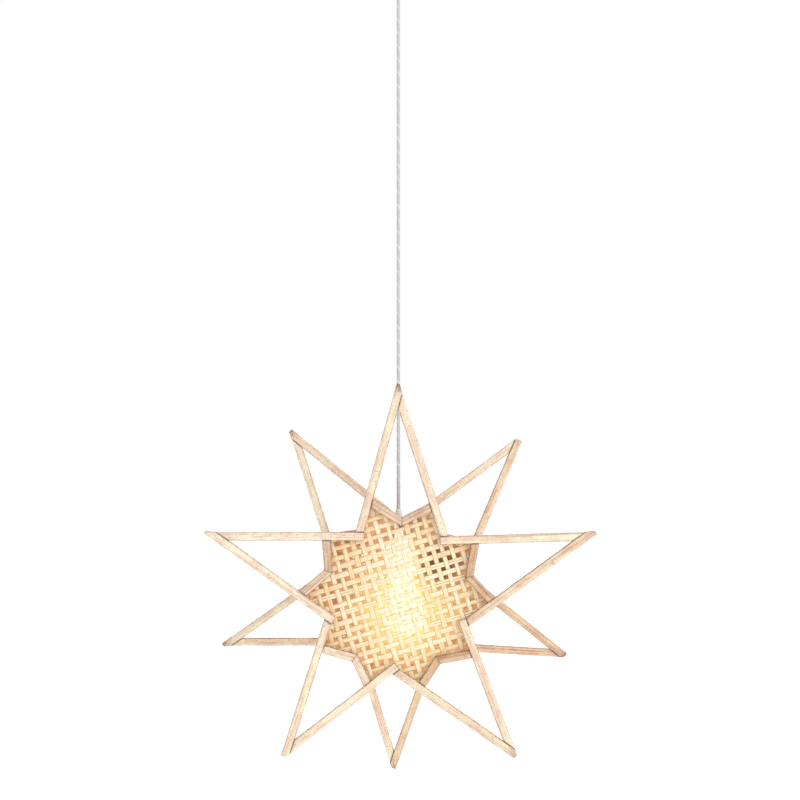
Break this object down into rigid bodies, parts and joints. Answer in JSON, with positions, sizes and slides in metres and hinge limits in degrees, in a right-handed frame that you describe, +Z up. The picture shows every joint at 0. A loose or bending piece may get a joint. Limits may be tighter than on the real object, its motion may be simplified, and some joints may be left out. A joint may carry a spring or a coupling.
{
  "type": "christmas star lamp",
  "caption": "Hanging star lamp: two layered stars of flat bamboo rods around a woven bamboo shade with a bulb inside, on a textile cord.",
  "frame": {"origin": "middle of the ceiling cup's flat top, where the lamp hangs from", "axes": "+Z up, away from the star; the face of the star looks along -Y; +X to the right as seen from the front"},
  "size_m": [0.5565, 0.16, 1.2361],
  "materials": {
    "bamboo_rod": "raw split bamboo, satin, with fine grain and brown cut ends",
    "bamboo_weave": "thin flat bamboo strip, raw, pale straw",
    "white_plastic": "satin moulded plastic",
    "bulb_glass": "frosted bulb, lit warm white",
    "cord_textile": "light grey braided textile with pale flecks"
  },
  "bodies": {
    "root": {"front_star_rod_1_anti": "bamboo_rod", "front_star_rod_1_clock": "bamboo_rod", "front_star_rod_2_anti": "bamboo_rod", "front_star_rod_2_clock": "bamboo_rod", "front_star_rod_3_anti": "bamboo_rod", "front_star_rod_3_clock": "bamboo_rod", "front_star_rod_4_anti": "bamboo_rod", "front_star_rod_4_clock": "bamboo_rod", "front_star_rod_5_anti": "bamboo_rod", "front_star_rod_5_clock": "bamboo_rod", "front_rim_rod_1_anti": "bamboo_rod", "front_rim_rod_1_clock": "bamboo_rod", "front_rim_rod_2_anti": "bamboo_rod", "front_rim_rod_2_clock": "bamboo_rod", "front_rim_rod_3_anti": "bamboo_rod", "front_rim_rod_3_clock": "bamboo_rod", "front_rim_rod_4_anti": "bamboo_rod", "front_rim_rod_4_clock": "bamboo_rod", "front_rim_rod_5_anti": "bamboo_rod", "front_rim_rod_5_clock": "bamboo_rod", "rear_star_rod_1_anti": "bamboo_rod", "rear_star_rod_1_clock": "bamboo_rod", "rear_star_rod_2_anti": "bamboo_rod", "rear_star_rod_2_clock": "bamboo_rod", "rear_star_rod_3_anti": "bamboo_rod", "rear_star_rod_3_clock": "bamboo_rod", "rear_star_rod_4_anti": "bamboo_rod", "rear_star_rod_4_clock": "bamboo_rod", "rear_star_rod_5_anti": "bamboo_rod", "rear_star_rod_5_clock": "bamboo_rod", "rear_rim_rod_1_anti": "bamboo_rod", "rear_rim_rod_1_clock": "bamboo_rod", "rear_rim_rod_2_anti": "bamboo_rod", "rear_rim_rod_2_clock": "bamboo_rod", "rear_rim_rod_3_anti": "bamboo_rod", "rear_rim_rod_3_clock": "bamboo_rod", "rear_rim_rod_4_anti": "bamboo_rod", "rear_rim_rod_4_clock": "bamboo_rod", "rear_rim_rod_5_anti": "bamboo_rod", "rear_rim_rod_5_clock": "bamboo_rod", "woven_front_panel": "bamboo_weave", "woven_rear_panel": "bamboo_weave", "woven_side_band": "bamboo_weave", "hanger_bar": "bamboo_rod", "cord_grip": "white_plastic", "lampholder": "white_plastic", "bulb": "bulb_glass", "textile_cord": "cord_textile", "ceiling_cup": "white_plastic"}
  },
  "joints": []
}
